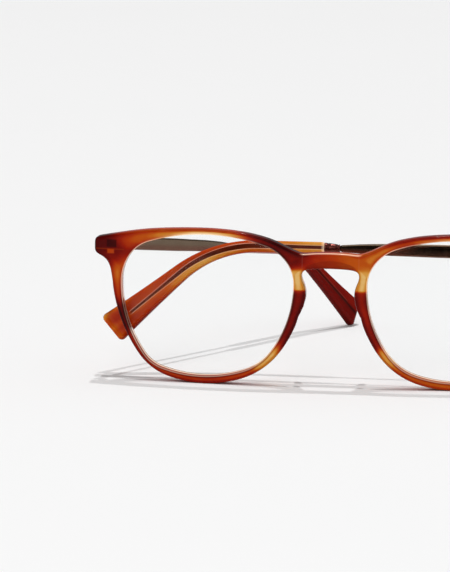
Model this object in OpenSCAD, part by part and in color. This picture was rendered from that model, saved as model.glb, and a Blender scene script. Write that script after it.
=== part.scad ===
// Prescription glasses: acetate front with a keyhole bridge, metal temple bars,
// acetate temple tips. Millimetres. Front faces -Y, +Z is up, rims stand on z = 0.
// The origin is at the middle of the base.
// Left and right are the wearer's: the wearer's left side is at +X.

/* [Front] */
// depth of the acetate front, front face to back face
front_depth = 4.4; // [3:0.1:6]
// radius of the front's curve seen from above
front_curve = 335; // [200:5:800]
// half of the front's total width
front_half_width = 68.8; // [60:0.1:75]
// height of the flat underside of the end pieces
end_low = 37.1; // [34:0.1:39]
// height of the outer top corner of the end pieces
end_high = 41.2; // [40:0.1:44]
// half width of the bridge between its top corners
bridge_half = 8.1; // [6:0.1:10]
// height of the bridge's top corners
bridge_top = 38.6; // [37:0.1:42]
// rise of the bridge's top edge at the middle
bridge_rise = 0.5; // [0:0.1:2]
// height of the keyhole's upper edge at the middle
keyhole_top = 34.6; // [32:0.1:37]
// half width of the keyhole at its notches
keyhole_half = 8.3; // [6:0.1:9]
// half width of the gap at the nose bulges
nose_half = 6.95; // [5:0.1:9]
// height of the nose bulges
nose_high = 27.4; // [24:0.1:30]

/* [Lenses] */
// outermost point of the lens opening, distance from the middle
open_x = 60.6; // [55:0.1:66]
// height of that point
open_z = 28.8; // [24:0.1:34]
// depth of the lens edge in the rim's groove
groove = 0.8; // [0.4:0.1:1.2]
// thickness of a lens
lens_thick = 2.0; // [1.2:0.1:3]
// radius of a lens's front surface
lens_curve = 200; // [90:5:400]
// height of the lens centre
lens_mid = 22.6; // [18:0.1:26]

/* [Rims] */
// outermost point of the rim, distance from the middle
rim_x = 63.7; // [58:0.1:68]
// height of that point
rim_z = 33.19; // [28:0.1:38]

/* [Hinges] */
// distance of each hinge axis from the middle
hinge_x = 65.5; // [62:0.1:67]
// how far the hinge axis stands behind the front's foremost point
hinge_y = 13.2; // [11:0.1:16]
// height of the hinge centre
hinge_z = 38.8; // [36:0.1:42]
// backward tilt of the hinge axis, the pantoscopic angle
axis_tilt = 8; // [0:0.5:14]
// radius of the knuckles
knuckle_r = 1.4; // [1:0.05:2]
// radius of the screw's shank
screw_r = 0.6; // [0.4:0.05:0.9]
// radial play where the shank turns in a knuckle
screw_play = 0.05; // [0.02:0.01:0.1]
// height of the middle knuckle
knuckle_mid = 1.8; // [1.2:0.1:3]
// height of each outer knuckle
knuckle_end = 0.9; // [0.6:0.1:2]
// thickness of a bearing washer
washer_thick = 0.15; // [0.05:0.01:0.3]
// play beside each washer
washer_play = 0.05; // [0.02:0.01:0.1]

/* [Temples] */
// opening angle of the wearer's right temple as it stands
open_right = 59.2; // [0:0.1:93]
// opening angle of the wearer's left temple as it stands
open_left = 2; // [0:1:93]
// distance of the bar's inner face from the hinge axis
bar_offset = 1.6; // [1.5:0.05:2.5]
// thickness of the metal bars
bar_thick = 1.3; // [0.8:0.1:2]
// height of the bars at the hinge
bar_high = 3.9; // [2.5:0.1:6]
// height of the bars at the ferrule
bar_low = 1.7; // [1.2:0.1:3]
// length of the bars from the hinge axis
bar_length = 63.9; // [40:0.1:90]
// length of the ferrules
ferrule_length = 4.6; // [3:0.1:8]
// radius of a ferrule at the tip
ferrule_r = 1.45; // [1:0.05:2.5]
// distance from the hinge axis to the bend of the tips
bend_start = 87.8; // [75:0.1:100]
// radius of the bend
bend_radius = 34.5; // [20:0.5:60]
// drop angle of the wearer's left tip
drop_left = 41.3; // [20:0.1:50]
// drop angle of the wearer's right tip
drop_right = 34.591; // [20:0.001:50]
// length of the straight part behind the bend
drop_length = 25.8; // [15:0.1:40]
// height of a tip at the ferrule
tip_start = 3.5; // [2.5:0.1:6]
// height of a tip at its end
tip_end = 9.6; // [5:0.1:12]
// thickness of the tips
tip_thick = 2.8; // [2:0.1:4]
// inward lean of the tips about the bar's line
tip_lean = 8; // [0:1:20]
// height of the flat core wire
wire_high = 1.3; // [0.8:0.1:2]
// thickness of the core wire
wire_thick = 1.1; // [0.6:0.1:1.6]

/* [Nose pads] */
// diameter of the pads
pad_size = 8.2; // [7:0.1:14]
// thickness of the pads
pad_thick = 2.8; // [2:0.1:5]

/* [Hidden] */
$fn = 96;
turn = 36;
// radii of ten tangent arcs, counted from the outermost point over the top
open_r = [13.5, 10.5, 0, 12.6, 10.8, 33.6, 16.1, 38.1, 10.4, 0];
rim_r = [10.0, 6.3, 0, 14.6, 8.1, 36.2, 23.0, 34.5, 17.2, 0];
function nrm(k) = [cos(turn * k), sin(turn * k)];
function step(k) = nrm(k + 1) - nrm(k);
function sum2(v, i = 0) = i >= len(v) ? [0, 0] : v[i] + sum2(v, i + 1);
function rest(r) = sum2([for (k = [0 : 9]) r[k] * step(k)]);
function det(a, b) = a[0] * b[1] - a[1] * b[0];
// the two free radii, top and lower outside, close the outline
function close2(r) = -det(rest(r), step(9)) / det(step(2), step(9));
function close9(r) = -det(step(2), rest(r)) / det(step(2), step(9));
function closed(r) = [for (k = [0 : 9]) k == 2 ? close2(r) : k == 9 ? close9(r) : r[k]];
function joint_at(p, r, k) = k == 0 ? p : joint_at(p, r, k - 1) + r[k - 1] * step(k - 1);
axis_half = knuckle_mid / 2 + washer_thick + washer_play + knuckle_end;
bar_mid = bar_offset + bar_thick / 2;
tip_s = bar_length + ferrule_length;
// half of the standing glasses' depth, so that the origin is at the middle of the base
half_length = 61.3;

acetate = [0.62, 0.22, 0.06];
metal = [0.30, 0.27, 0.24];
clear = [0.85, 0.90, 0.92];

// everything is drawn with the front's foremost point at y = 0, then set back
module placed() {
  translate([0, -half_length, 0]) children();
}

// ---- outlines of the wearer's left half, x outward, y up ----
module arcs(p, r, grow = 0) {
  n = 8;
  polygon([
    for (k = [0 : 9], j = [0 : n - 1])
      joint_at(p, r, k) - r[k] * nrm(k) + (r[k] + grow) * nrm(k + j / n)
  ]);
}
module opening(grow = 0) {
  arcs([open_x, open_z], closed(open_r), grow);
}
module rim_face() {
  arcs([rim_x, rim_z], closed(rim_r));
}
module end_face() {
  w = front_half_width;
  difference() {
    polygon([
      [60, 28.4], [63.45, 28.7], [63.75, 30.4], [63.98, 31.8], [64.28, 32.9],
      [64.65, 33.7], [65.05, 34.35], [65.5, 34.85], [66.05, 35.3], [66.6, 35.62], [67.3, 35.95],
      [w - 1.0, end_low - 0.85], [w - 0.5, end_low - 0.6], [w - 0.15, end_low - 0.2],
      [w, end_low + 0.3], [w, end_high - 0.9], [w - 0.15, end_high - 0.35],
      [w - 0.6, end_high], [67.2, end_high + 0.2], [65, 41.85], [62.5, 42.35], [59, 43.03],
      [55, 43.68], [51, 44.15], [47, 44.47], [43, 44.68], [40, 44.78], [37.2, 44.84],
      [36, 44.84], [36, 40], [50, 36],
    ]);
    opening();
  }
}
module bridge_face() {
  t = bridge_top;
  difference() {
    polygon([
      [0, 20.6], [0, t + bridge_rise], [bridge_half / 2, t + 0.8 * bridge_rise],
      [bridge_half - 0.5, t + 0.05], [bridge_half + 0.1, t], [9.3, 38.95], [10.8, 39.5],
      [12.4, 40.2], [14.2, 41.05], [15.8, 41.75], [17.5, 42.4], [19.5, 43.0], [21.7, 43.5],
      [24, 43.95], [26.6, 44.3], [29.5, 44.58], [32.5, 44.75], [36, 44.84], [36, 40],
      [14, 34], [11, 30], [9, 20.6],
    ]);
    opening();
    keyhole();
  }
}
module keyhole() {
  k = keyhole_top;
  w = keyhole_half;
  n = nose_half;
  h = nose_high;
  polygon([
    [-1, k], [0, k], [2, k - 0.03], [4, k - 0.15], [5.6, k - 0.35],
    [w - 1.4, k - 0.7], [w - 0.7, k - 1.1], [w - 0.2, k - 1.65], [w, k - 2.3],
    [w - 0.1, k - 3.0], [w - 0.45, k - 3.9], [n + 0.45, h + 2.2], [n + 0.15, h + 1.2],
    [n, h + 0.2], [n, h - 0.7], [n + 0.1, h - 1.7], [n + 0.33, h - 2.8], [n + 0.68, h - 4.0],
    [n + 1.15, h - 5.2], [n + 1.5, h - 6.0], [n + 1.95, h - 7.0], [n + 1.5, 19.5], [-1, 19.5],
  ]);
}
module half_face() {
  difference() {
    union() {
      rim_face();
      end_face();
      bridge_face();
    }
    opening();
    keyhole();
    // small flat where the rim stands
    translate([20, -5]) square([30, 5]);
  }
}
module shell(r_front, depth, high = 60) {
  translate([0, front_curve, -5]) difference() {
    cylinder(r = r_front, h = high, $fn = 360);
    translate([0, 0, -1]) cylinder(r = r_front - depth, h = high + 2, $fn = 360);
  }
}
module both_sides() {
  children();
  mirror([1, 0, 0]) children();
}
module upright(depth = 30) {
  translate([0, depth, 0]) rotate([90, 0, 0]) linear_extrude(depth) children();
}
module side_of(side) {
  mirror([side > 0 ? 0 : 1, 0, 0]) children();
}

// ---- front ----
module frame_front() {
  color(acetate) placed() difference() {
    intersection() {
      both_sides() upright() half_face();
      shell(front_curve, front_depth);
    }
    lens_body(1);
    lens_body(-1);
    leaf_body(1);
    leaf_body(-1);
  }
}
module lens_body(side) {
  x0 = (open_x + 10.5) / 2;
  lean = asin(x0 / front_curve);
  y0 = front_curve - sqrt(front_curve * front_curve - x0 * x0);
  side_of(side) intersection() {
    upright() opening(groove);
    translate([x0, y0, lens_mid]) rotate([0, 0, lean]) translate([0, lens_curve + 0.7, 0])
      difference() {
        sphere(r = lens_curve, $fn = 360);
        sphere(r = lens_curve - lens_thick, $fn = 360);
      }
  }
}
module pad_body(side) {
  side_of(side) difference() {
    translate([nose_half + 2.4, 6.2, nose_high - 1.2]) rotate([0, 0, 65]) rotate([10, 0, 0])
      intersection() {
        translate([0, pad_bulge - pad_thick / 2, 0]) sphere(r = pad_bulge, $fn = 240);
        translate([0, pad_thick / 2 - pad_bulge, 0]) sphere(r = pad_bulge, $fn = 240);
      }
    translate([0, front_curve, -5]) difference() {
      cylinder(r = front_curve + 20, h = 60, $fn = 360);
      translate([0, 0, -1]) cylinder(r = front_curve - front_depth, h = 62, $fn = 360);
    }
  }
}
pad_bulge = (pad_size * pad_size / 4 + pad_thick * pad_thick / 4) / pad_thick;
module lens_left() {
  color(clear) placed() lens_body(1);
}
module lens_right() {
  color(clear) placed() lens_body(-1);
}
module nose_pad_left() {
  color(acetate) placed() pad_body(1);
}
module nose_pad_right() {
  color(acetate) placed() pad_body(-1);
}

// ---- hinges ----
module at_hinge(side, angle = 0) {
  translate([side * hinge_x, hinge_y, hinge_z]) rotate([-axis_tilt, 0, 0])
    mirror([side > 0 ? 1 : 0, 0, 0]) rotate([0, 0, angle]) children();
}
module knuckle(low, high, bore) {
  difference() {
    translate([0, 0, low]) cylinder(r = knuckle_r, h = high - low);
    translate([0, 0, low - 1]) cylinder(r = bore, h = high - low + 2);
  }
}
module leaf_body(side) {
  gap = knuckle_mid / 2 + washer_thick + washer_play;
  at_hinge(side) {
    for (s = [0, 1]) mirror([0, 0, s]) difference() {
      union() {
        translate([0, 0, gap]) cylinder(r = knuckle_r, h = knuckle_end);
        translate([-0.9, -3.0, gap]) cube([1.8, 3.0, knuckle_end]);
      }
      translate([0, 0, gap - 1]) cylinder(r = s == 0 ? screw_r + screw_play : screw_r,
        h = knuckle_end + 2);
    }
    translate([-1.4, -4.6, -axis_half]) cube([2.8, 1.7, 2 * axis_half]);
  }
}
module hinge_front_leaf_left() {
  color(metal) placed() leaf_body(1);
}
module hinge_front_leaf_right() {
  color(metal) placed() leaf_body(-1);
}
module temple_leaf(side, angle) {
  at_hinge(side, angle) difference() {
    union() {
      translate([0, 0, -knuckle_mid / 2]) cylinder(r = knuckle_r, h = knuckle_mid);
      translate([0, 0.7, -knuckle_mid / 2]) cube([2.4, bar_offset - 0.7, knuckle_mid]);
      translate([2.0, bar_offset - 0.5, -1.5]) cube([8, 0.5, 3]);
    }
    translate([0, 0, -5]) cylinder(r = screw_r + screw_play, h = 10);
  }
}
module hinge_temple_leaf_left() {
  color(metal) placed() temple_leaf(1, open_left);
}
module hinge_temple_leaf_right() {
  color(metal) placed() temple_leaf(-1, open_right);
}
module screw_body(side) {
  at_hinge(side) {
    translate([0, 0, -axis_half]) cylinder(r = screw_r, h = 2 * axis_half);
    translate([0, 0, axis_half]) difference() {
      cylinder(r1 = 1.1, r2 = 0.9, h = 0.4);
      translate([-0.12, -2, 0.2]) cube([0.24, 4, 1]);
    }
  }
}
module hinge_screw_left() {
  color(metal) placed() screw_body(1);
}
module hinge_screw_right() {
  color(metal) placed() screw_body(-1);
}
module washers_body(side) {
  at_hinge(side) for (s = [0, 1]) mirror([0, 0, s])
    translate([0, 0, knuckle_mid / 2 + washer_play]) difference() {
      cylinder(r = knuckle_r - 0.1, h = washer_thick);
      translate([0, 0, -1]) cylinder(r = screw_r + 0.08, h = washer_thick + 2);
    }
}
module hinge_washers_left() {
  color(clear) placed() washers_body(1);
}
module hinge_washers_right() {
  color(clear) placed() washers_body(-1);
}

// ---- temples, built along +X from the hinge axis, outside at +Y ----
module bar_body(side, angle) {
  h0 = bar_high / 2;
  h1 = bar_low / 2;
  at_hinge(side, angle) translate([0, bar_offset + bar_thick, 0]) rotate([90, 0, 0])
    linear_extrude(bar_thick) polygon([
      [-1.3, -h0], [bar_length - 28, -h0 * 0.97], [bar_length - 14, -h0 * 0.84],
      [bar_length - 6, -h0 * 0.62], [bar_length, -h1], [bar_length, h1],
      [bar_length - 6, h0 * 0.66], [bar_length - 14, h0 * 0.86],
      [bar_length - 28, h0 * 0.97], [-1.3, h0],
    ]);
}
module temple_bar_left() {
  color(metal) placed() bar_body(1, open_left);
}
module temple_bar_right() {
  color(metal) placed() bar_body(-1, open_right);
}
module ferrule_body(side, angle) {
  at_bar(side, angle) translate([bar_length, 0, 0]) rotate([0, 90, 0]) difference() {
    cylinder(r1 = bar_low / 2 + 0.05, r2 = ferrule_r, h = ferrule_length);
    translate([-wire_high / 2, -wire_thick / 2, -1])
      cube([wire_high, wire_thick, ferrule_length + 2]);
  }
}
module ferrule_left() {
  color(metal) placed() ferrule_body(1, open_left);
}
module ferrule_right() {
  color(metal) placed() ferrule_body(-1, open_right);
}
module wire_face(d) {
  all = bend_radius * d * PI / 180 + drop_length - 4.5;
  n = 14;
  w = wire_high / 2;
  c = mid_at(all, d);
  ss = concat([bar_length - bend_start], [for (i = [0 : n]) all * i / n]);
  polygon(concat(
    [for (s = ss) mid_at(s, d) + w * [sin(dir_at(s, d)), cos(dir_at(s, d))]],
    [for (a = [60 : -30 : -60]) c + w * [cos(a - d), sin(a - d)]],
    [for (i = [len(ss) - 1 : -1 : 0])
      mid_at(ss[i], d) - w * [sin(dir_at(ss[i], d)), cos(dir_at(ss[i], d))]]
  ));
}
module at_bar(side, angle) {
  at_hinge(side, angle) translate([0, bar_mid, 0]) rotate([-tip_lean, 0, 0]) children();
}
module wire_body(side, angle, drop) {
  at_bar(side, angle) translate([0, wire_thick / 2, 0]) rotate([90, 0, 0])
    linear_extrude(wire_thick) wire_face(drop);
}
module core_wire_left() {
  color(metal) placed() wire_body(1, open_left, drop_left);
}
module core_wire_right() {
  color(metal) placed() wire_body(-1, open_right, drop_right);
}
// a point of the tip's middle line at arc length s behind the bend's start
function mid_at(s, d) = s <= 0 ? [bend_start + s, 0] :
  s < bend_radius * d * PI / 180 ? [
    bend_start + bend_radius * sin(s / bend_radius * 180 / PI),
    bend_radius * (cos(s / bend_radius * 180 / PI) - 1),
  ] : [
    bend_start + bend_radius * sin(d) + (s - bend_radius * d * PI / 180) * cos(d),
    bend_radius * (cos(d) - 1) - (s - bend_radius * d * PI / 180) * sin(d),
  ];
function dir_at(s, d) = s <= 0 ? 0 : min(d, s / bend_radius * 180 / PI);
function half_at(s, all) = s <= 0 ? tip_start / 2 :
  tip_start / 2 + (tip_end - tip_start) / 2 * pow(s / all, 1.9);
function edge(s, d, all, w) = mid_at(s, d)
  + w * half_at(s, all) * [sin(dir_at(s, d)), cos(dir_at(s, d))];
module tip_face(d) {
  all = bend_radius * d * PI / 180 + drop_length;
  n = 22;
  first = tip_s - bend_start;
  ss = concat([first], [for (i = [0 : n]) (all - 1.6) * i / n]);
  h = half_at(all, all);
  c = mid_at(all - 1.6, d);
  u = [cos(d), -sin(d)];
  v = [sin(d), cos(d)];
  polygon(concat(
    [for (s = ss) edge(s, d, all, 1)],
    [for (a = [60 : -30 : 0]) c + v * (h - 1.6) + 1.6 * (u * cos(a) + v * sin(a))],
    [for (a = [0 : -30 : -60]) c - v * (h - 1.6) + 1.6 * (u * cos(a) + v * sin(a))],
    [for (i = [len(ss) - 1 : -1 : 0]) edge(ss[i], d, all, -1)]
  ));
}
module tip_body(side, angle, drop) {
  difference() {
    at_bar(side, angle) translate([0, tip_thick / 2, 0]) rotate([90, 0, 0])
      linear_extrude(tip_thick) tip_face(drop);
    wire_body(side, angle, drop);
  }
}
module temple_tip_left() {
  color(acetate) placed() tip_body(1, open_left, drop_left);
}
module temple_tip_right() {
  color(acetate) placed() tip_body(-1, open_right, drop_right);
}

frame_front();
lens_left();
lens_right();
nose_pad_left();
nose_pad_right();
hinge_front_leaf_left();
hinge_front_leaf_right();
hinge_temple_leaf_left();
hinge_temple_leaf_right();
hinge_screw_left();
hinge_screw_right();
hinge_washers_left();
hinge_washers_right();
temple_bar_left();
temple_bar_right();
ferrule_left();
ferrule_right();
core_wire_left();
core_wire_right();
temple_tip_left();
temple_tip_right();
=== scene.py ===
import math
import bpy
import bmesh
import numpy as np
from mathutils import Matrix, Vector


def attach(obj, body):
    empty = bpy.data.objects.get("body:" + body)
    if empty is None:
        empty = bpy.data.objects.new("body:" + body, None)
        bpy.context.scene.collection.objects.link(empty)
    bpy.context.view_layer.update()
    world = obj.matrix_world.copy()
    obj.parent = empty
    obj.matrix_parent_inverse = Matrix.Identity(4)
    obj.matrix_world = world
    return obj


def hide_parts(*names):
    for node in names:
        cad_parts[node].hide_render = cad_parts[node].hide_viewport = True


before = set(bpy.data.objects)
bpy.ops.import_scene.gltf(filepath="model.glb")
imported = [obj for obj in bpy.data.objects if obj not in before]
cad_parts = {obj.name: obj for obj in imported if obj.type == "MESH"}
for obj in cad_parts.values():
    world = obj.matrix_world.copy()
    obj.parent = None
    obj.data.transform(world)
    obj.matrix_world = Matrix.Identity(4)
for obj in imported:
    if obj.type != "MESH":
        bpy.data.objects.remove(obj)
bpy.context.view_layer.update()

# ---------------------------------------------------------------- sizes, mm, as in the source
FRONT_Y = -61.3
CURVE, DEPTH = 335.0, 4.4                           # the front: radius seen from above, thickness
OPEN_AT, OPEN_R = (60.6, 28.8), [13.5, 10.5, 0, 12.6, 10.8, 33.6, 16.1, 38.1, 10.4, 0]
RIM_AT, RIM_R = (63.7, 33.19), [10.0, 6.3, 0, 14.6, 8.1, 36.2, 23.0, 34.5, 17.2, 0]
OPEN_MID_X, OPEN_MID_Z = (60.6 + 10.5) / 2, 22.6    # middle of the opening, where the lens is level
LENS_FRONT_R, LENS_BACK_R, LENS_IN = 200.0, 198.0, 0.7      # radii of both faces, depth behind the front
HINGE = (65.5, 13.2, 38.8)
TILT = math.radians(8)                              # lean of the hinge axes
TIP_LEAN = 8.0                                      # degrees, tips and ferrules lean inwards
BAR_Y, BAR_HALF = 2.25, 0.65                        # the bar's mid-plane from the axis, half thickness
# along a temple from its hinge: end of the bar, start of the tip, start and radius of the bend, then
# the straight end of the tip
BAR_END, TIP_S, BEND, BEND_R, TIP_LONG = 63.9, 68.5, 87.8, 34.5, 25.8
TIP_HALF, TIP_THIN, TIP_GROWS = 1.75, 1.4, 3.05     # half height at the bar, half thickness, growth
OPEN = {1: 2.0, -1: 59.2}                           # degrees from parallel to the front
DROP = {1: 41.3, -1: 34.591}                        # degrees of bend behind the ear
BODY = {1: "temple_left", -1: "temple_right"}
NAME = {1: "left", -1: "right"}


# ---------------------------------------------------------------- mesh helpers
def smooth(a, b, x):
    """0 at a, 1 at b, level at both."""
    t = min(1.0, max(0.0, (x - a) / (b - a)))
    return t * t * (3 - 2 * t)


def make(name, verts, faces, mat, attrs=None, flat=False):
    """A mesh object from points in mm, with a float attribute per point for each entry of attrs."""
    me = bpy.data.meshes.new(name)
    me.from_pydata([tuple(c * 0.001 for c in v) for v in verts], [], faces)
    for key, values in (attrs or {}).items():
        a = me.attributes.new(key, "FLOAT", "POINT")
        a.data.foreach_set("value", [float(v) for v in values])
    me.polygons.foreach_set("use_smooth", [not flat] * len(me.polygons))
    me.materials.append(mat)
    ob = bpy.data.objects.new(name, me)
    bpy.context.scene.collection.objects.link(ob)
    return ob


def tidy(ob):
    """Join points that coincide, drop loose ones and turn all faces outwards."""
    bm = bmesh.new()
    bm.from_mesh(ob.data)
    bmesh.ops.remove_doubles(bm, verts=bm.verts, dist=2e-6)
    loose = [v for v in bm.verts if not v.link_faces]
    bmesh.ops.delete(bm, geom=loose, context="VERTS")
    bmesh.ops.recalc_face_normals(bm, faces=bm.faces)
    bm.to_mesh(ob.data)
    bm.free()
    return ob


def loft(name, rings, mat, attrs, ends=None):
    """Closed rings of equal length, joined in order, each end closed by a fan to its middle or to ends."""
    n = len(rings[0])
    verts = [p for r in rings for p in r]
    faces = []
    for i in range(len(rings) - 1):
        for j in range(n):
            k = (j + 1) % n
            faces.append((i * n + j, i * n + k, (i + 1) * n + k, (i + 1) * n + j))
    values = {key: [x for r in v for x in r] for key, v in attrs.items()}
    for i in (0, len(rings) - 1):
        c = len(verts)
        if ends:
            verts.append(ends[0] if i == 0 else ends[1])
        else:
            verts.append(tuple(sum(p[a] for p in rings[i]) / n for a in range(3)))
        for v in values.values():
            v.append(sum(v[i * n:(i + 1) * n]) / n)
        for j in range(n):
            faces.append((i * n + j, i * n + (j + 1) % n, c))
    return tidy(make(name, verts, faces, mat, values))


def arc(y, z, r, start, steps, n):
    """Points on the quarter circle about (y, z) that begins at start degrees, n steps long."""
    angles = [math.radians(start + 90 * j / n) for j in steps]
    return [(y + r * math.cos(t), z + r * math.sin(t)) for t in angles]


# ---------------------------------------------------------------- node helpers
class Nodes:
    """A node tree of a material or a world, built by short calls."""

    def __init__(self, owner, output="Material"):
        owner.use_nodes = True
        self.owner = owner
        self.t = owner.node_tree
        self.t.nodes.clear()
        self.out = self.new("Output" + output)

    def new(self, kind, **values):
        n = self.t.nodes.new("ShaderNode" + kind)
        for k, v in values.items():
            setattr(n, k, v)
        return n

    def link(self, a, b):
        self.t.links.new(a, b)

    def put(self, socket, value):
        if isinstance(value, bpy.types.NodeSocket):
            self.link(value, socket)
        else:
            socket.default_value = value

    def fill(self, node, *values):
        """Set or link the node's inputs in order, and give its first output."""
        for s, v in zip(node.inputs, values):
            self.put(s, v)
        return node.outputs[0]

    def math(self, op, a, b=0.0, c=0.0, clamp=False):
        return self.fill(self.new("Math", operation=op, use_clamp=clamp), a, b, c)

    def times(self, a, b):
        return self.math("MULTIPLY", a, b)

    def ramp(self, fac, stops):
        n = self.new("ValToRGB")
        e = n.color_ramp.elements
        while len(e) < len(stops):
            e.new(0.5)
        for el, (p, c) in zip(e, stops):
            el.position = p
            el.color = c
        return self.fill(n, fac)

    def mix(self, fac, a, b):
        n = self.new("Mix", data_type="RGBA")
        self.put(n.inputs[0], fac)
        self.put(n.inputs[6], a)
        self.put(n.inputs[7], b)
        return n.outputs[2]

    def tint(self, colour, mask, share, code):
        """Share of another colour where the mask is 1."""
        return self.mix(self.times(mask, share), colour, srgb(code))

    def attr(self, name):
        return self.new("Attribute", attribute_type="GEOMETRY", attribute_name=name).outputs["Fac"]

    def coords(self, scale=(1, 1, 1)):
        tc = self.new("TexCoord")
        mp = self.new("Mapping")
        mp.inputs["Scale"].default_value = scale
        self.link(tc.outputs["Object"], mp.inputs["Vector"])
        return mp.outputs[0]

    def noise(self, scale, vector, detail=3.0, rough=0.5, distortion=0.0):
        n = self.new("TexNoise")
        n.inputs["Scale"].default_value = scale
        n.inputs["Detail"].default_value = detail
        n.inputs["Roughness"].default_value = rough
        n.inputs["Distortion"].default_value = distortion
        self.link(vector, n.inputs["Vector"])
        return n.outputs["Fac"]

    def between(self, x, a, b, low=0.0, high=1.0):
        """low at a, high at b."""
        return self.fill(self.new("MapRange", interpolation_type="SMOOTHSTEP"), x, a, b, low, high)

    def bump(self, height, strength, distance):
        n = self.new("Bump")
        n.inputs["Strength"].default_value = strength
        n.inputs["Distance"].default_value = distance
        self.put(n.inputs["Height"], height)
        return n.outputs[0]

    def bsdf(self, **values):
        n = self.new("BsdfPrincipled")
        for k, v in values.items():
            self.put(n.inputs[k.replace("_", " ")], v)
        return n.outputs[0]

    def mix_shader(self, fac, a, b):
        return self.fill(self.new("MixShader"), fac, a, b)

    def done(self, shader):
        self.link(shader, self.out.inputs["Surface"])
        return self.owner


def material(name):
    return Nodes(bpy.data.materials.new(name))


def srgb(code):
    """Linear colour, with alpha 1, of six hexadecimal digits."""
    out = []
    for i in (0, 2, 4):
        c = int(code[i:i + 2], 16) / 255
        out.append(c / 12.92 if c <= 0.04045 else ((c + 0.055) / 1.055) ** 2.4)
    return (*out, 1.0)


# ---------------------------------------------------------------- materials
TORTOISE = [
    (0.00, srgb("2a0303")), (0.12, srgb("560706")), (0.28, srgb("7e0f06")), (0.42, srgb("a31e07")),
    (0.56, srgb("bd3a0a")), (0.70, srgb("cd5a10")), (0.82, srgb("e08a2c")), (0.92, srgb("efab4c")),
    (1.00, srgb("fac97a")),
]


def front_marks(n, colour):
    """The colours of what shows in the front: sunk hinges in the end pieces; painted shade in the scoop of the
    bridge and a painted highlight on its facet lines.
    """
    tc = n.new("TexCoord")
    sep = n.new("SeparateXYZ")
    n.link(tc.outputs["Object"], sep.inputs[0])
    x = n.math("ABSOLUTE", sep.outputs["X"])
    z = sep.outputs["Z"]
    on_front = n.math("LESS_THAN", n.attr("face"), 0.5)

    def box(x0, x1, z0, z1, soft):
        s = soft * 0.5
        a = n.times(n.between(x, x0 - s, x0 + s), n.between(x, x1 + s, x1 - s))
        b = n.times(n.between(z, z0 - s, z0 + s), n.between(z, z1 + s, z1 - s))
        return n.times(n.times(a, b), on_front)
    # the leaf, the bright part below it and the seam, in metres
    colour = n.tint(colour, box(0.0623, 0.0652, 0.0384, 0.0406, 0.0005), 0.75, "2a0204")
    colour = n.tint(colour, box(0.0630, 0.0650, 0.0366, 0.0378, 0.0005), 0.8, "c8480e")
    colour = n.tint(colour, box(0.0600, 0.0684, 0.0377, 0.0380, 0.0003), 0.35, "b8400c")
    # painted shade: the scoop is darker below its arc, with a thin painted highlight line on the facet at both
    # ends
    xm, zm = n.times(x, 1000.0), n.times(z, 1000.0)
    arch = n.math("MULTIPLY_ADD", n.times(xm, xm), -0.034, 36.9)
    below = n.between(n.math("SUBTRACT", arch, zm), -0.15, 0.25)
    scoop_shade = n.times(n.times(below, n.between(xm, 7.6, 6.4)), on_front)
    colour = n.tint(colour, scoop_shade, 0.45, "7a1a06")
    line = n.between(n.math("ABSOLUTE", n.math("SUBTRACT", xm, 8.1)), 0.30, 0.05)
    facet_highlight = n.times(line, n.times(n.between(zm, 33.5, 35.0), on_front))
    return n.tint(colour, facet_highlight, 0.03, "f0c8a8")


def acetate(name, is_front=False, has_wire=False):
    """Tortoise acetate: attribute tone picks the colour, painted_light paints light, edge paints dark shade
    lines, wire shows metal.
    """
    n = material(name)
    cloud = n.noise(150, n.coords((1, 0.5, 1)), 3.0, 0.55, 0.6)
    streak = n.noise(420, n.coords((0.35, 0.6, 1.0)), 2.0, 0.5, 1.2)
    wobble = n.math("MULTIPLY_ADD", cloud, 0.16, -0.08)
    wobble = n.math("ADD", wobble, n.math("MULTIPLY_ADD", streak, 0.07, -0.035))
    colour = n.ramp(n.math("ADD", n.attr("tone"), wobble, clamp=True), TORTOISE)
    if has_wire:
        grain = n.noise(900, n.coords((0.2, 1, 1)), 2.0)
        colour = n.mix(n.attr("wire"), colour, n.mix(grain, srgb("3e1006"), srgb("702a14")))
    if is_front:
        colour = front_marks(n, colour)
    # painted light: cream mixed into the colour and emitted as a glow; painted shade: dark edge lines
    glow = n.mix(n.attr("painted_light"), colour, srgb("f2dcc0"))
    colour = n.mix(n.attr("edge"), glow, srgb("2a0806"))
    wear = n.noise(1600, n.coords(), 2.0)
    return n.done(n.bsdf(
        Base_Color=colour, Roughness=n.math("MULTIPLY_ADD", wear, 0.08, 0.05), IOR=1.49,
        Specular_IOR_Level=0.05, Emission_Color=glow, Emission_Strength=n.times(n.attr("painted_light"), 0.55),
        Normal=n.bump(n.noise(700, n.coords(), 2.0), 0.04, 0.0002)))


def metal(name, low, high, rough, along=(0.05, 1, 1), band=False, metallic=1.0):
    """Brushed metal between two colours; attribute band mixes in the acetate's reflection."""
    n = material(name)
    grain = n.noise(2600, n.coords(along), 3.0, 0.6)
    cloud = n.noise(90, n.coords(), 3.0, 0.6)
    colour = n.mix(n.math("MULTIPLY_ADD", grain, 0.55, n.times(cloud, 0.45)), srgb(low), srgb(high))
    if band:
        colour = n.mix(n.attr("band"), colour, srgb("6a2a16"))
        metallic = n.math("MULTIPLY_ADD", n.attr("band"), -0.6, metallic)
    return n.done(n.bsdf(
        Base_Color=colour, Metallic=metallic, Specular_IOR_Level=0.4,
        Roughness=n.math("MULTIPLY_ADD", grain, rough[1] - rough[0], rough[0]),
        Normal=n.bump(grain, 0.06, 0.0001)))


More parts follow.
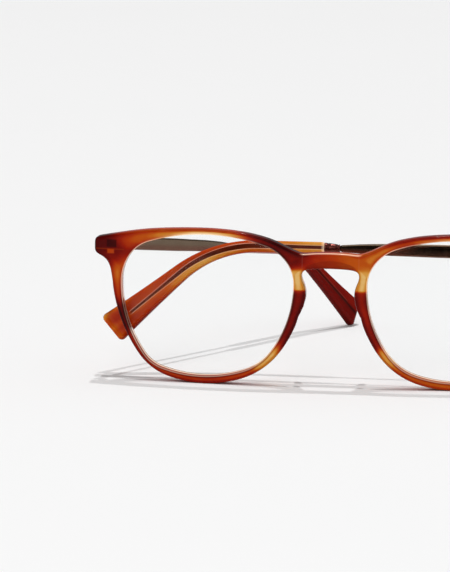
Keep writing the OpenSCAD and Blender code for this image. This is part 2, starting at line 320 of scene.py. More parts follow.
def lens_material():
    """Clear sheet with a faint gloss; attribute rim is the ground edge."""
    n = material("lens_clear")
    smear = n.noise(35, n.coords((1, 1, 0.6)), 3.0, 0.6)
    fresnel = n.new("Fresnel")
    fresnel.inputs["IOR"].default_value = 1.3
    gloss = n.new("BsdfGlossy")
    gloss.inputs["Color"].default_value = (0.86, 0.93, 1.0, 1)
    n.put(gloss.inputs["Roughness"], n.math("MULTIPLY_ADD", smear, 0.05, 0.01))
    clear = n.new("BsdfTransparent")
    clear.inputs["Color"].default_value = (0.995, 0.998, 0.998, 1)
    sheet = n.mix_shader(n.times(fresnel.outputs[0], 0.22), clear.outputs[0], gloss.outputs[0])
    ground = n.bsdf(Base_Color=srgb("e8e2da"), Roughness=0.35, Alpha=0.85)
    return n.done(n.mix_shader(n.attr("rim"), sheet, ground))


def nylon():
    n = material("nylon")
    g = n.noise(900, n.coords(), 3.0)
    return n.done(n.bsdf(
        Base_Color=n.mix(g, srgb("cfc9bd"), srgb("e9e5dc")),
        Roughness=n.math("MULTIPLY_ADD", g, 0.15, 0.4), Normal=n.bump(g, 0.1, 0.0001)))


# ---------------------------------------------------------------- outlines of the front
def closed_arcs(at, radii, n):
    """Ten tangent arcs of 36 degrees, the third and last radius chosen so that they close."""
    nrm = [np.array([math.cos(math.radians(36 * k)), math.sin(math.radians(36 * k))]) for k in range(11)]
    step = [nrm[k + 1] - nrm[k] for k in range(10)]
    rest = -sum(r * s for r, s in zip(radii, step))
    radii = list(radii)
    radii[2], radii[9] = np.linalg.solve(np.array([step[2], step[9]]).T, rest)
    p = np.array(at, float)
    pts, angles = [], []
    for k, r in enumerate(radii):
        c = p - r * nrm[k]
        for j in range(n):
            t = math.radians(36 * (k + j / n))
            pts.append(c + r * np.array([math.cos(t), math.sin(t)]))
            angles.append(t)
        p = p + r * step[k]
    return np.array(pts), angles


def spline(pts, step=0.45):
    """Centripetal Catmull-Rom curve through the points, sampled about every step mm."""
    p = [np.array(q, float) for q in pts]
    p = [2 * p[0] - p[1]] + p + [2 * p[-1] - p[-2]]
    out = []
    for i in range(1, len(p) - 2):
        n = max(1, int(np.linalg.norm(p[i + 1] - p[i]) / step))
        d = [max(1e-6, np.linalg.norm(p[i + k] - p[i + k - 1]) ** 0.5) for k in range(3)]
        ahead = (p[i + 1] - p[i]) / d[1]
        m1 = ((p[i] - p[i - 1]) / d[0] - (p[i + 1] - p[i - 1]) / (d[0] + d[1]) + ahead) * d[1]
        m2 = (ahead - (p[i + 2] - p[i]) / (d[1] + d[2]) + (p[i + 2] - p[i + 1]) / d[2]) * d[1]
        for j in range(n):
            t = j / n
            out.append((2 * t**3 - 3 * t**2 + 1) * p[i] + (t**3 - 2 * t**2 + t) * m1
                       + (3 * t**2 - 2 * t**3) * p[i + 1] + (t**3 - t**2) * m2)
    out.append(p[-2])
    return out


opening, _ = closed_arcs(OPEN_AT, OPEN_R, 60)
rim, _ = closed_arcs(RIM_AT, RIM_R, 60)

BRIDGE_TOP = [(0, 39.1), (2, 39.07), (4.05, 39.0), (6, 38.83), (7.6, 38.66), (8.3, 38.66), (9.3, 38.97),
              (10.8, 39.5), (12.4, 40.2), (14.2, 41.05), (15.8, 41.75), (17.5, 42.4), (19.5, 43.0),
              (21.7, 43.5), (24, 43.95), (26.6, 44.3), (29.5, 44.58), (32.5, 44.75), (36, 44.84),
              (40, 44.78), (43, 44.68), (47, 44.47), (51, 44.15), (55, 43.68), (59, 43.03), (62.5, 42.35),
              (65, 41.85), (67.0, 41.43), (68.0, 41.22), (68.55, 40.95), (68.78, 40.4), (68.8, 39.5)]
END_DOWN = [(68.8, 39.5), (68.8, 38.3), (68.78, 37.4), (68.6, 36.85), (68.2, 36.42), (67.5, 36.06),
            (66.6, 35.62), (66.05, 35.3), (65.5, 34.85), (65.05, 34.35), (64.65, 33.7), (64.28, 32.9),
            (63.98, 31.8), (63.72, 30.4), (63.42, 28.7)]
KEYHOLE = [(9.0, 20.4), (8.45, 21.4), (8.1, 22.2), (7.63, 23.4), (7.28, 24.6), (7.05, 25.7), (6.95, 26.7),
           (6.95, 27.6), (7.1, 28.6), (7.4, 29.6), (7.85, 30.7), (8.15, 31.6), (8.28, 32.4), (8.18, 33.15),
           (7.8, 33.72), (7.0, 34.1), (5.6, 34.34), (4, 34.47), (2, 34.55), (0, 34.58)]


def resample(pts, step):
    pts = np.array(pts)
    d = np.r_[0, np.cumsum(np.linalg.norm(np.diff(pts, axis=0), axis=1))]
    t = np.linspace(0, d[-1], max(2, int(round(d[-1] / step)) + 1))
    return np.c_[np.interp(t, d, pts[:, 0]), np.interp(t, d, pts[:, 1])]


def ease(pts, rounds):
    """Light smoothing of an open line; its ends stay."""
    p = np.array(pts)
    for _ in range(rounds):
        p[1:-1] = 0.25 * p[:-2] + 0.5 * p[1:-1] + 0.25 * p[2:]
    return p


def relax(grid, rounds):
    """Winslow smoothing of a grid closed along its first axis, so that no cell folds over."""
    p = grid.copy()
    for _ in range(rounds):
        nxt, prv = np.roll(p, -1, 0), np.roll(p, 1, 0)
        along = ((nxt - prv) / 2)[:, 1:-1]
        across = (p[:, 2:] - p[:, :-2]) / 2
        a = (across ** 2).sum(-1)[..., None]
        c = (along ** 2).sum(-1)[..., None]
        b = (along * across).sum(-1)[..., None]
        twist = (nxt[:, 2:] - nxt[:, :-2] - prv[:, 2:] + prv[:, :-2]) / 4
        moved = a * (nxt + prv)[:, 1:-1] + c * (p[:, 2:] + p[:, :-2]) - 2 * b * twist
        p[:, 1:-1] = moved / (2 * (a + c) + 1e-12)
    return p


def front_outline():
    """The outside of the wearer's left half, from the bridge's top round to the keyhole's top."""
    top, down, nose = spline(BRIDGE_TOP), spline(END_DOWN), spline(KEYHOLE)
    # the rim's own arcs from below the end piece round to the nose side
    run = [down[-1]]
    i = int(np.argmin(np.linalg.norm(rim - END_DOWN[-1], axis=1)))
    while True:
        i = (i - 1) % len(rim)
        q = rim[i].copy()
        q[1] = max(q[1], 0.0)
        if q[0] < 12 and q[1] > 19.0:
            break
        run.append(q)
    run.append(nose[0])
    parts = [ease(resample(top, 0.5), 2), ease(resample(down, 0.4), 2),
             ease(resample(run, 0.75), 3), ease(resample(nose, 0.4), 2)]
    return np.vstack([parts[0]] + [part[1:] for part in parts[1:]])


def outline_normals(around, n):
    """Normals into the material, and none for the columns of the centre line that follow."""
    nrm = np.zeros((n, 2))
    last = len(around) - 1
    for i in range(1, last):
        t = around[i + 1] - around[i - 1]
        t = t / np.linalg.norm(t)
        nrm[i] = (t[1], -t[0])
    nrm[0], nrm[last] = (0, -1), (0, 1)
    return nrm


def match_opening(cols):
    """For each column its place on the opening, and the normal there into the material."""
    n = len(cols)
    d = np.r_[0, np.cumsum(np.linalg.norm(np.diff(np.vstack([opening, opening[:1]]), axis=0), axis=1))]
    total = d[-1]
    # the nearest place, as a share of the opening's length, made to run strictly one way
    near = [d[int(np.argmin(((opening - q) ** 2).sum(1)))] / total for q in cols]
    u = [near[0]]
    for k in near[1:]:
        while k - u[-1] > 0.5:
            k -= 1
        while k - u[-1] < -0.5:
            k += 1
        u.append(min(k, u[-1]))
    u = np.array(u)
    even = u[0] - np.arange(n) / n
    for _ in range(30):
        u[1:-1] = (u[:-2] + u[1:-1] + u[2:]) / 3
    share = ((0.9 * u + 0.1 * even) % 1.0) * total
    inner = np.c_[np.interp(share, d, np.r_[opening[:, 0], opening[0, 0]]),
                  np.interp(share, d, np.r_[opening[:, 1], opening[0, 1]])]
    nrm = np.zeros((n, 2))
    middle = opening.mean(0)
    for i in range(n):
        t = inner[(i + 1) % n] - inner[i - 1]
        t = t / np.linalg.norm(t)
        nrm[i] = (-t[1], t[0])
        if np.dot(nrm[i], inner[i] - middle) < 0:
            nrm[i] = -nrm[i]
    return inner, nrm


# ---------------------------------------------------------------- colour of the front
# (x, height, reach along x, reach in height, tone): x runs to the right of the picture
# The zones are the tortoise pattern; the lighter ones along the lower part of the top rims, from height 40.8
# to 43.2, also hold painted light gathered there.
ZONES = [
    (-67, 39.5, 5, 4, 0.10), (-60.5, 41.5, 3, 2.5, 0.50), (-55, 43.3, 5, 1.2, 0.60), (-46, 44.5, 7, 1.2, 0.62),
    (-36, 44.6, 7, 1.2, 0.55), (-55, 41.4, 4, 1.0, 0.58), (-46, 42.9, 6, 1.0, 0.70), (-36, 43.2, 7, 1.0, 0.86),
    (-27, 42.6, 4, 1.2, 0.78), (-22, 43, 4, 2, 0.14), (-15, 40, 5, 3, 0.08), (-11, 37.5, 3.4, 3, 0.22),
    (-64, 35.5, 2.5, 2.5, 0.30), (-62.5, 31.5, 3, 3.5, 0.66), (-62, 25.5, 3, 3, 0.46), (-60, 19, 3, 4, 0.06),
    (-55, 10, 4, 4, 0.36), (-46, 3.5, 6, 4, 0.46), (-36, 1.5, 6, 3, 0.40), (-27, 3, 4, 3, 0.50),
    (-18.5, 9.5, 3.4, 3.4, 0.88), (-12.5, 16, 3, 4, 0.18), (-9, 22, 3, 3, 0.16), (-8.5, 26, 3, 2.2, 0.18),
    (-9, 31.3, 3, 2.6, 0.91), (-4, 37, 4, 3, 0.44), (1, 37, 4, 3, 0.56), (6, 37, 4, 3, 0.68),
    (9.5, 31.3, 3, 2.6, 0.91), (8.8, 26, 3, 2.2, 0.22), (9.5, 21, 3, 3, 0.30), (13, 38.5, 4, 3, 0.66),
    (12.5, 15, 3, 3, 0.24), (16.5, 9, 2.5, 2.5, 0.82), (23, 4.5, 4, 3, 0.60), (32, 1.5, 6, 3, 0.62),
    (43, 3, 6, 3, 0.44), (53, 9, 5, 5, 0.30), (60, 19, 3, 5, 0.18), (62, 27, 3, 4, 0.50),
    (62.5, 32.5, 3, 3, 0.66), (20, 42.4, 4, 1.2, 0.40), (28, 44.3, 4, 1.0, 0.34), (36, 44.7, 6, 1.0, 0.34),
    (21, 40.8, 3, 1.2, 0.62), (29, 42.4, 4, 1.0, 0.72), (36, 43.0, 6, 1.0, 0.80), (46, 42.8, 6, 1.0, 0.74),
    (46, 44.4, 6, 1.0, 0.42), (55, 41.8, 5, 2, 0.56), (61, 41, 3, 2.5, 0.40), (67, 39.5, 5, 4, 0.10),
]


def tone_at(x, z):
    """Weighted mean of the zones, and the honey bands that cross the nose strips."""
    a = b = 1e-9
    for cx, cz, rx, rz, v in ZONES:
        w = math.exp(-((x - cx) / rx) ** 2 - ((z - cz) / rz) ** 2) + 1e-6
        a += w * v
        b += w
    k = smooth(27.9, 28.5, z) * smooth(34.5, 33.2, z) * smooth(13.5, 12.0, abs(x)) * smooth(5.2, 6.4, abs(x))
    return a / b * (1 - k) + (0.94 - 0.05 * smooth(31, 28.5, z)) * k


def sink(x, z):
    """How far the front face lies back in the scoop of the bridge, in mm."""
    return 0.18 * smooth(9.4, 6.4, abs(x)) * smooth(29, 33, z)


def bend(x, z, depth):
    """A point of the flat front, at this depth behind its face, put on the curved front."""
    return (x, CURVE - math.sqrt((CURVE - depth) ** 2 - x * x) + FRONT_Y, z)


# ---------------------------------------------------------------- the front
ROWS, BACK_ROWS = 18, 8             # cells across the front face and across the back
EDGE, EDGE_IN, EDGE_BACK = 0.55, 0.32, 0.6      # edge radii: outside, at the openings, outside at the back
CENTRE_LINE = (35.35, 38.3)         # heights of the columns on the centre line


def edge_points(p, normal, r, leaving):
    """(place, depth, share) along a rounded edge that leaves the wall at p, or comes back to it."""
    out = []
    for a in (22, 45, 68):
        c, s = 1 - math.cos(math.radians(a)), 1 - math.sin(math.radians(a))
        if not leaving:
            c, s = s, c
        out.append((p + normal * r * c, r * s, a / 90))
    return out


def front_look(kind, share, x, z, depth, to_out, to_in, span):
    """Painted dark edge lines of shade, painted light, painted shading of the tone and painted gathered light
    at a point of the front.
    """
    edge = painted_light = shade = lit = 0.0
    if kind == "front":
        # painted shade: dark lines along the outer edge and along the inner edge low down; painted shading,
        # lighter across the middle of narrow rims and darker towards their edges; painted light gathered near
        # the inner edge of the top rims
        inner_shade_line = 0.35 * smooth(14, 6, z) * math.exp(-((to_in - 0.35) / 0.3) ** 2)
        edge = max(0.50 * math.exp(-(to_out / 0.34) ** 2), inner_shade_line)
        shade = smooth(9.0, 6.5, span) * (0.10 - 0.22 * abs(2 * share - 1) ** 2)
        lit = smooth(36, 39, z) * math.exp(-(to_in / 0.75) ** 2)
    elif kind == "edge" and x < 9.0 and z > 37.5:
        # painted highlight along the top edge of the bridge
        painted_light = (0.62 if share > 0.4 else 0.1) * smooth(9.0, 8.0, x)
    elif kind == "edge":
        # painted shade: a dark line along the outer edge
        edge = 0.50 * math.exp(-(to_out / 0.34) ** 2)
    elif kind == "edge_in":
        # painted shade: a dark line along the inner front edge low down; painted highlight along it near the
        # top, with painted gathered light
        edge = 0.55 * smooth(14, 7, z)
        painted_light = 0.50 * smooth(44, 40, z)
        lit = smooth(36, 39, z)
    elif kind == "wall_in":
        # painted shade darkens the wall higher up, where it faces down, and at its back; painted light makes
        # the lower wall glow cream, though the top rim shades it
        edge = 0.45 * smooth(26, 36, z) + 0.5 * smooth(3.4, 4.0, depth)
        painted_light = 0.85 * smooth(1.5, 2.3, depth) * smooth(4.0, 3.2, depth) * smooth(32, 22, z)
        shade = 0.06
    else:
        shade = -0.05
    return edge, painted_light, shade, lit


def build_front(mat):
    """Both halves from one closed profile per column, from the opening over the front to the back."""
    around = front_outline()
    n_out = len(around)
    cols = np.vstack([around, [(0, z) for z in np.linspace(*CENTRE_LINE, 9)]])
    n = len(cols)
    nrm = outline_normals(around, n)
    inner, inrm = match_opening(cols)
    # a smaller edge radius where the keyhole's top turns sharply
    radius = np.array([EDGE - 0.29 * smooth(9.8, 8.6, x) * smooth(30.3, 32.0, z) * smooth(37, 36, z)
                       for x, z in cols])[:, None]
    inside = inner + inrm * EDGE_IN
    t = np.linspace(0, 1, ROWS + 1)
    t = (0.75 * t + 0.25 * (0.5 - 0.5 * np.cos(np.pi * t)))[None, :, None]
    front = relax(inside[:, None] * (1 - t) + (cols + nrm * radius)[:, None] * t, 700)
    t = np.linspace(0, 1, BACK_ROWS + 1)[None, :, None]
    back = relax((cols + nrm * EDGE_BACK)[:, None] * (1 - t) + inside[:, None] * t, 500)
    points = []         # x, height, depth, painted dark edge, painted light, painted shading, painted gathered light, 1 where it isn't the front face
    for i in range(n):
        O, I, nO, nI, r = cols[i], inner[i], nrm[i], inrm[i], radius[i, 0]
        col = [(I, d, 0.0, "wall_in") for d in (DEPTH - EDGE_IN, 3.3, 2.2, 1.3, 0.7, EDGE_IN)]
        col += [(q, d, s, "edge_in") for q, d, s in edge_points(I, nI, EDGE_IN, True)]
        col += [(front[i, j], 0.0, j / ROWS, "front") for j in range(ROWS + 1)]
        col += [(q, d, s, "edge") for q, d, s in edge_points(O, nO, r, False)]
        col += [(O, d, 0.0, "rest") for d in (r, 1.4, 2.4, 3.2, DEPTH - EDGE_BACK)]
        col += [(q, DEPTH - d, s, "rest") for q, d, s in edge_points(O, nO, EDGE_BACK, True)]
        col += [(back[i, j], DEPTH, 0.0, "rest") for j in range(BACK_ROWS + 1)]
        col += [(q, DEPTH - d, s, "rest") for q, d, s in edge_points(I, nI, EDGE_IN, False)]
        span = np.linalg.norm(O - I)
        for p, d, share, kind in col:
            x, z = p
            d = d + sink(x, z) * (1 - d / DEPTH)
            to_out = np.linalg.norm(p - O) if i < n_out else 9.0
            look = front_look(kind, share, x, z, d, to_out, np.linalg.norm(p - I), span)
            points.append((x, z, d, *look, 1.0 if kind in ("rest", "wall_in") else 0.0))
    k = len(col)
    faces = []
    for i in range(n):
        for j in range(k):
            a, b, m = i * k, (i + 1) % n * k, (j + 1) % k
            faces.append((a + j, b + j, b + m, a + m))
    # faces within the middle plane would only divide the two halves
    faces = [q for q in faces if any(points[a][0] >= 1e-4 for a in q)]
    verts, all_faces = [], []
    looks = {"tone": [], "edge": [], "painted_light": [], "face": []}
    for side in (1, -1):
        base = len(verts)
        for x, z, d, edge, painted_light, shade, lit, face in points:
            x = side * max(0.0, x)
            verts.append(bend(x, z, d))
            # painted light gathered along the lower edge of the top rims
            lit *= math.exp(-((x + 38) / 13) ** 2) + 0.55 * math.exp(-((x - 36) / 12) ** 2)
            tone = tone_at(x, z)
            looks["tone"].append(min(1.0, max(0.0, tone + shade + 0.35 * lit)))
            looks["edge"].append(edge * (1 - lit))
            looks["painted_light"].append(max(painted_light * (0.3 + 0.7 * smooth(0.10, 0.34, tone)), 0.75 * lit * lit))
            looks["face"].append(face)
        for q in faces:
            q = tuple(base + a for a in q)
            all_faces.append(q if side > 0 else q[::-1])
    return tidy(make("front_acetate", verts, all_faces, mat, looks))


# ---------------------------------------------------------------- lenses and pads
def build_lens(side, mat):
    """Meniscus with a shallow V ground on its edge, which sits in the rim's groove."""
    lean = math.asin(OPEN_MID_X / CURVE)
    y0 = CURVE - math.sqrt(CURVE ** 2 - OPEN_MID_X ** 2)
    away = LENS_FRONT_R + LENS_IN
    cx, cy, cz = OPEN_MID_X - away * math.sin(lean), y0 + away * math.cos(lean), OPEN_MID_Z
    pts, angles = closed_arcs(OPEN_AT, OPEN_R, 16)
    middle = pts.mean(0)
    rows = [0.04, 0.12, 0.22, 0.34, 0.46, 0.58, 0.69, 0.79, 0.88, 0.95, 0.998]

    def depth(p, r):
        return cy - math.sqrt(r * r - (p[0] - cx) ** 2 - (p[1] - cz) ** 2)

    def point(p, y):
        return (side * p[0], y + FRONT_Y, p[1])

    def face_ring(share, r):
        return [point(q, depth(q, r)) for q in (middle + (p - middle) * share for p in pts)]

    def edge_ring(grow, share):
        ring = []
        for p, a in zip(pts, angles):
            q = p + grow * np.array([math.cos(a), math.sin(a)])
            f, b = depth(q, LENS_FRONT_R), depth(q, LENS_BACK_R)
            ring.append(point(q, f + (b - f) * share))
        return ring
    rings = [face_ring(share, LENS_FRONT_R) for share in rows]
    rings += [edge_ring(grow, share) for grow, share in ((0.35, 0.25), (0.62, 0.5), (0.35, 0.75))]
    rings += [face_ring(share, LENS_BACK_R) for share in reversed(rows)]
    is_edge = [[1.0 if len(rows) <= i < len(rows) + 3 else 0.0] * len(pts) for i in range(len(rings))]
    ends = [point(middle, depth(middle, r)) for r in (LENS_FRONT_R, LENS_BACK_R)]
    return loft("lens_glass_" + NAME[side], rings, mat, {"rim": is_edge}, ends)


def build_pad(side, mat):
    """Solid nose pad: a slim rounded disc that leans against the back of the nose strip."""
    radius, half = 3.9, 0.85
    turn = Matrix.Rotation(math.radians(80), 3, "Z") @ Matrix.Rotation(math.radians(10), 3, "X")
    middle = Vector((8.95, 5.5, 26.6))
    n = 40

    def point(x, y, z):
        q = turn @ Vector((0.93 * x, 0.97 * y, 1.12 * z)) + middle
        return (side * q.x, q.y + FRONT_Y, q.z)
    rings = []
    for a in (-84, -72, -58, -42, -26, -12, 0, 12, 26, 42, 58, 72, 84):
        a = math.radians(a)
        r = radius * math.cos(a) ** 0.62
        turns = [2 * math.pi * j / n for j in range(n)]
        rings.append([point(r * math.cos(t), half * math.sin(a), r * math.sin(t)) for t in turns])
    tone = [[tone_at(p[0], p[2]) for p in r] for r in rings]
    none = [[0.0] * n for _ in rings]
    return loft("pad_" + NAME[side], rings, mat, {"tone": tone, "edge": none, "painted_light": none},
                [point(0, -half, 0), point(0, half, 0)])


# ---------------------------------------------------------------- temples
def hinge_frame(side, lean=0.0):
    """Placement of a temple drawn along +X from its hinge, its inner face towards -Y."""
    m = Matrix.Translation((side * HINGE[0], HINGE[1] + FRONT_Y, HINGE[2])) @ Matrix.Rotation(-TILT, 4, "X")
    if side > 0:
        m = m @ Matrix.Diagonal((-1, 1, 1, 1))
    m = m @ Matrix.Rotation(math.radians(OPEN[side]), 4, "Z")
    if lean:
        m = m @ Matrix.Translation((0, BAR_Y, 0)) @ Matrix.Rotation(math.radians(-lean), 4, "X")
    return m


def place(m, p):
    q = m @ Vector(p)
    return (q.x, q.y, q.z)


def resection(sec, n):
    """The same closed line with n evenly spaced points."""
    p = np.array(sec + sec[:1])
    d = np.r_[0, np.cumsum(np.linalg.norm(np.diff(p, axis=0), axis=1))]
    t = np.linspace(0, d[-1], n, endpoint=False)
    return [(float(a), float(b)) for a, b in zip(np.interp(t, d, p[:, 0]), np.interp(t, d, p[:, 1]))]


def bar_section(hy, hz):
    """Rounded rectangle with half sizes hy and hz."""
    r = min(0.28, hy * 0.98, hz * 0.98)
    y, z, n = hy - r, hz - r, 5
    return resection([(hy, -z), (hy, z)] + arc(y, z, r, 0, range(1, n + 1), n) + arc(-y, z, r, 90, range(n), n)
                     + [(-hy, z), (-hy, -z)] + arc(-y, -z, r, 180, range(1, n + 1), n)
                     + arc(y, -z, r, 270, range(n), n), 40)


def build_bar(side, mat):
    """Flat bar that tapers towards the ferrule, with eased ends."""
    m = hinge_frame(side)
    start, end, ease_by = -1.3, BAR_END, 0.3
    at = [start, end - 28, end - 21, end - 14, end - 10, end - 6, end - 3, end]
    top = [1.95, 1.89, 1.80, 1.76, 1.64, 1.46, 1.24, 1.02]
    low = [1.95, 1.89, 1.78, 1.70, 1.55, 1.34, 1.14, 0.95]
    xs = [start, -1.24, -1.1, -0.85, 0] + [2 * i for i in range(1, 16)] + [31 + 0.8 * i for i in range(1, 41)]
    xs = [x for x in xs if x < end - 0.4] + [end - 0.25, end - 0.1, end]
    rings, band = [], []
    for x in xs:
        inset = ease_by * (1 - math.sqrt(max(0.0, 1 - (1 - min(1, (x - start) / 0.45)) ** 2)))
        if x > end - ease_by:
            inset = x - end + ease_by
        up, down = float(np.interp(x, at, top)) - inset, float(np.interp(x, at, low)) - inset
        hz, mid = (up + down) / 2, (up - down) / 2
        sec = bar_section(BAR_HALF - inset * 0.6, hz)
        rings.append([place(m, (x, BAR_Y + y, mid + z)) for y, z in sec])
        # painted reflection: band mixes the acetate's colour into the bar's lower part, more on its inner face
        # and towards the ferrule
        share = 0.45 + 0.45 * smooth(40, 58, x)
        band.append([share * smooth(0.25, -0.6, z / hz) * (1 if y < 0 else 0.4) for y, z in sec])
    return loft("bar_" + NAME[side], rings, mat, {"band": band})


def build_ferrule(side, mat):
    """Flared cap with two turned grooves."""
    m = hinge_frame(side, TIP_LEAN)
    prof = [(0.0, 0.70), (0.02, 0.86), (0.10, 1.00), (0.40, 1.04), (0.52, 0.96), (0.62, 0.96), (0.74, 1.08),
            (1.4, 1.16), (2.4, 1.26), (3.4, 1.36), (3.52, 1.28), (3.66, 1.28), (3.8, 1.40), (4.2, 1.43),
            (4.45, 1.44), (4.58, 1.41), (4.6, 1.30)]
    n = 40
    turns = [2 * math.pi * j / n for j in range(n)]
    rings = [[place(m, (BAR_END + x, 0.97 * r * math.cos(t), 1.16 * r * math.sin(t))) for t in turns]
             for x, r in prof]
    return loft("ferrule_cap_" + NAME[side], rings, mat, {"band": [[0.0] * n for _ in prof]})


TIP_END, TIP_LIP = 1.6, 0.35        # radius of the tip's end, length of its eased start
WIRE_ROWS = (-0.95, -0.84, -0.78, -0.70, -0.62, -0.5, -0.25, 0, 0.25, 0.5, 0.62, 0.70, 0.78, 0.84, 0.95)


def mid_at(s, drop):
    """Middle of the tip s mm after the start of its bend, and its slope there."""
    a = BEND_R * drop
    if s <= 0:
        return BEND + s, 0.0, 0.0
    if s < a:
        t = s / BEND_R
        return BEND + BEND_R * math.sin(t), BEND_R * (math.cos(t) - 1), t
    return (BEND + BEND_R * math.sin(drop) + (s - a) * math.cos(drop),
            BEND_R * (math.cos(drop) - 1) - (s - a) * math.sin(drop), drop)


def tip_section(hy, h):
    """Rounded section with half sizes hy and h: fixed rows about the wire on both faces, others shared out."""
    r = min(1.0, hy * 0.75)
    flat = h - r
    scale = min(1.0, flat)
    outer = [flat * 0.97 + (0.95 * scale - flat * 0.97) * (1 - q) for q in (0.35, 0.7, 1.0)]
    rows = sorted([-z for z in outer] + [z * scale for z in WIRE_ROWS] + outer)
    y, n = hy - r, 6
    return ([(hy, z) for z in rows] + arc(y, flat, r, 0, range(1, n), n) + arc(-y, flat, r, 90, range(n), n)
            + [(-hy, z) for z in reversed(rows)] + arc(-y, -flat, r, 180, range(1, n), n)
            + arc(y, -flat, r, 270, range(n), n))


def tip_look(side, s, first, total, y, z, hy, h):
    """Tone, wire, painted light and painted dark edge lines of shade at a point of a tip's section, s mm after
    the start of the bend.
    """
    q = z / max(0.3, h)
    tone = 0.72 + 0.16 * smooth(0, -20, s)
    tone -= 0.14 * smooth(-0.1, 0.25, q) * smooth(-10, 6, s)
    if q < 0:
        tone += 0.20 * math.exp(-((s - 17) / 9) ** 2) - 0.16 * smooth(26, 38, s) * smooth(-0.1, -0.5, q)
        tone -= 0.12 * smooth(-0.72, -0.95, q)
    tone -= 0.14 * smooth(total - 11, total - 6, s) * smooth(0.9, 0.3, abs(q))
    # painted highlight along the rounded end
    tone += 0.14 * smooth(total - 3, total - 1, s)
    tone += 0.10 * smooth(total - 12, total - 8, s) * smooth(0.6, 0.9, q)
    # painted shade: dark lines along the top and bottom edges
    edge = 0.5 * smooth(0.90, 1.0, abs(q))
    if side < 0:
        # painted shade: the wearer's right tip lies in shade and is painted dark red, with a darker painted
        # stripe of shade along its middle
        tone += (0.25 + 0.05 * smooth(-0.05, 0.1, q) - tone) * smooth(2, 22, s)
        shade_stripe = 0.14 * smooth(0.0, -0.15, q) + 0.75 * math.exp(-((q + 0.06) / 0.15) ** 2)
        edge = max(edge, smooth(2, 22, s) * shade_stripe)
    end_wire = total - 7.2
    thick = 0.50 + 0.16 * smooth(-15, 4, s) - 0.25 * smooth(8, end_wire, s)
    # painted light: pale lines along both sides of the wire and across the start of the tip
    wire = line = 0.0
    if s < end_wire:
        line = math.exp(-((abs(z) - thick - 0.11) / 0.07) ** 2)
        if abs(y) > hy * 0.5:
            wire = smooth(thick + 0.05, thick - 0.05, abs(z)) * smooth(end_wire + 0.2, end_wire - 0.3, s)
            # the wire shows less through the wearer's right tip, in its painted shade
            wire *= 1 if side > 0 else 0.3
    line = max(line, 1.6 * smooth(first + 0.7, first + 0.2, s))
    # the wearer's right tip, in painted shade, gets little painted light
    return min(1.0, max(0.0, tone)), wire, (0.40 if side > 0 else 0.06) * line, edge


def build_tip(side, mat):
    """Bent acetate tip, wider towards its rounded end."""
    m = hinge_frame(side, TIP_LEAN)
    drop = math.radians(DROP[side])
    total = BEND_R * drop + TIP_LONG
    first = TIP_S - BEND
    stations = [first, first + 0.05, first + 0.15, first + TIP_LIP] + list(np.linspace(first + 1, 0, 20))
    stations += list(np.linspace(0, total - TIP_END, 46))[1:]
    stations += [total - TIP_END * math.cos(math.radians(a)) for a in (10, 22, 34, 46, 58, 68, 76, 83, 88)]
    rings, looks = [], {"tone": [], "wire": [], "painted_light": [], "edge": []}
    for s in sorted(set(round(s, 4) for s in stations)):
        px, pz, a = mid_at(s, drop)
        h = TIP_HALF if s <= 0 else TIP_HALF + TIP_GROWS * (s / total) ** 1.9
        hy = TIP_THIN
        lip = first + TIP_LIP - s
        if lip > 0:
            k = 0.30 * (lip / TIP_LIP) ** 2
            h -= k
            hy -= k
        far = s - (total - TIP_END)
        if far > 0:
            k = TIP_END - math.sqrt(max(0.0, TIP_END ** 2 - far ** 2))
            h -= k
            hy -= min(1.25, k * 0.8)
        sec = tip_section(hy, h)
        rings.append([place(m, (px + z * math.sin(a), y, pz + z * math.cos(a))) for y, z in sec])
        found = [tip_look(side, s, first, total, y, z, hy, h) for y, z in sec]
        for values, column in zip(looks.values(), zip(*found)):
            values.append(column)
    return loft("tip_" + NAME[side], rings, mat, looks)


# ---------------------------------------------------------------- make the pieces
mat_front = acetate("acetate_front", is_front=True)
mat_tip = acetate("acetate_tip", has_wire=True)
mat_pad = acetate("acetate_pad")
mat_bar = metal("metal_bar", "5a4a3c", "7c6a58", (0.10, 0.22), (0.05, 0.05, 1), band=True)
mat_cap = metal("metal_ferrule", "340e0c", "6a2c22", (0.12, 0.25), (0.1, 1, 1), metallic=0.7)
mat_hinge = metal("metal_hinge", "54483c", "8a7a68", (0.22, 0.4))
mat_screw = metal("metal_screw", "6a5c4c", "a89886", (0.2, 0.35), (1, 1, 0.1))
mat_wire = metal("metal_wire", "4a2412", "6e3a20", (0.25, 0.4))
mat_lens = lens_material()
mat_nylon = nylon()

front = build_front(mat_front)
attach(front, "front")
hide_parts("frame_front")
for side in (1, -1):
    s = NAME[side]
    lens = build_lens(side, mat_lens)
    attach(lens, "front")
    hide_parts("lens_" + s)
    pad = build_pad(side, mat_pad)
    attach(pad, "front")
    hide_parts("nose_pad_" + s)
    bar = build_bar(side, mat_bar)
    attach(bar, BODY[side])
    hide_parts("temple_bar_" + s)
    cap = build_ferrule(side, mat_cap)
    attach(cap, BODY[side])
    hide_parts("ferrule_" + s)
    tip = build_tip(side, mat_tip)
    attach(tip, BODY[side])
    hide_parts("temple_tip_" + s)
    for node, mat in (("hinge_front_leaf_", mat_hinge), ("hinge_temple_leaf_", mat_hinge),
                      ("hinge_screw_", mat_screw), ("hinge_washers_", mat_nylon), ("core_wire_", mat_wire)):
        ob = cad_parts[node + s]
        if not ob.material_slots:
            ob.data.materials.append(mat)
        for slot in ob.material_slots:
            slot.material = mat


# ---------------------------------------------------------------- floor and light
def floor_material():
    n = material("floor_pale")
    speck = n.noise(3, n.coords(), 2.0)
    diffuse = n.new("BsdfDiffuse")
    n.put(diffuse.inputs["Color"], n.mix(speck, (0.898, 0.898, 0.898, 1), (0.906, 0.906, 0.906, 1)))
    return n.done(diffuse.outputs[0])


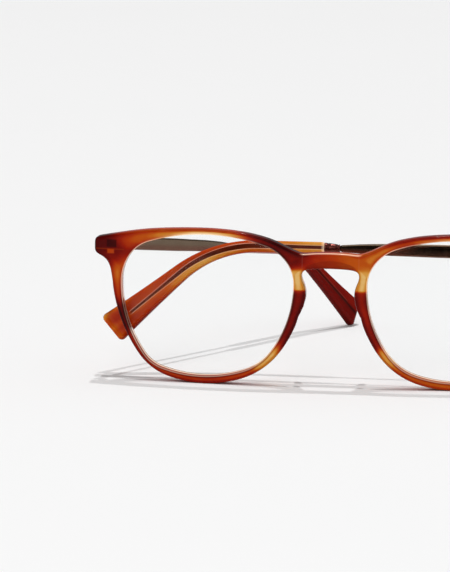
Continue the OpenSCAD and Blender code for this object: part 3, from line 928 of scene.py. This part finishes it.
def studio(world):
    """Brighter with height and darker towards the camera's side; a plain pale backdrop to the camera."""
    n = Nodes(world, "World")
    sep = n.new("SeparateXYZ")
    n.link(n.new("TexCoord").outputs["Generated"], sep.inputs[0])
    up = n.between(sep.outputs["Z"], 0.16, 0.50, 0.24, 0.44)
    ahead = n.between(sep.outputs["Y"], -0.45, -0.95)
    light = n.math("MULTIPLY_ADD", ahead, -0.24, up)
    pick = n.new("Mix", data_type="FLOAT")
    n.put(pick.inputs[0], n.new("LightPath").outputs["Is Camera Ray"])
    n.put(pick.inputs[2], light)
    n.put(pick.inputs[3], 0.905)
    background = n.new("Background")
    background.inputs["Color"].default_value = (1, 1, 1, 1)
    n.put(background.inputs["Strength"], pick.outputs[0])
    return n.done(background.outputs[0])


def lamp(name, kind, at, aim, **values):
    data = bpy.data.lights.new(name, kind)
    for k, v in values.items():
        setattr(data, k, v)
    ob = bpy.data.objects.new(name, data)
    ob.location = at
    ob.rotation_euler = (Vector(at) - Vector(aim)).to_track_quat("Z", "Y").to_euler()
    bpy.context.scene.collection.objects.link(ob)


FLOOR = 12000                       # mm, half width
floor = make("floor", [(-FLOOR, -FLOOR, 0), (FLOOR, -FLOOR, 0), (FLOOR, FLOOR, 0), (-FLOOR, FLOOR, 0)],
             [(0, 1, 2, 3)], floor_material(), flat=True)
bpy.context.scene.world = studio(bpy.data.worlds.new("studio"))
lamp("key", "SUN", (0.0, -0.03, 1.0), (0, 0, 0), energy=0.87, angle=math.radians(1.3))
lamp("back", "SUN", (0.0, 0.25, 1.0), (0, 0, 0), energy=0.87, angle=math.radians(1.3))
lamp("fill", "AREA", (-0.7, -3.1, 2.1), (0, -0.03, 0.02), energy=25.0, size=2.0)


# ---------------------------------------------------------------- camera
def camera():
    """Fitted to the photograph: 1 m away, a little above and to the wearer's left, turned slightly."""
    away, scale, sensor = 1000.0, 3.485, 36         # mm, picture points per mm, mm
    width, height = 450, 572
    e, psi, roll = math.radians(8.3), math.radians(5.2), math.radians(0.88)
    u, v = 328.0 - width / 2, 388.5 - height / 2    # where the middle of the front's base shows
    r = Vector((math.cos(psi), math.sin(psi), 0))
    up = Vector((-math.sin(psi) * math.sin(e), math.cos(psi) * math.sin(e), math.cos(e)))
    b = Vector((math.sin(psi) * math.cos(e), -math.cos(psi) * math.cos(e), math.sin(e)))
    u0 = math.cos(roll) * u + math.sin(roll) * v
    v0 = -math.sin(roll) * u + math.cos(roll) * v
    at = b * away - r * (u0 / scale) + up * (v0 / scale) + Vector((0, FRONT_Y, 0))
    # the picture turns clockwise, so the camera turns the other way
    r2 = r * math.cos(roll) + up * math.sin(roll)
    up2 = up * math.cos(roll) - r * math.sin(roll)
    data = bpy.data.cameras.new("camera")
    data.sensor_fit = "HORIZONTAL"
    data.sensor_width = sensor
    data.lens = scale * away * sensor / width
    data.clip_start, data.clip_end = 0.01, 60
    ob = bpy.data.objects.new("camera", data)
    ob.matrix_world = Matrix((
        (r2.x, up2.x, b.x, at.x * 0.001), (r2.y, up2.y, b.y, at.y * 0.001),
        (r2.z, up2.z, b.z, at.z * 0.001), (0, 0, 0, 1)))
    bpy.context.scene.collection.objects.link(ob)
    bpy.context.scene.camera = ob


camera()
bpy.context.scene.view_settings.view_transform = "Standard"
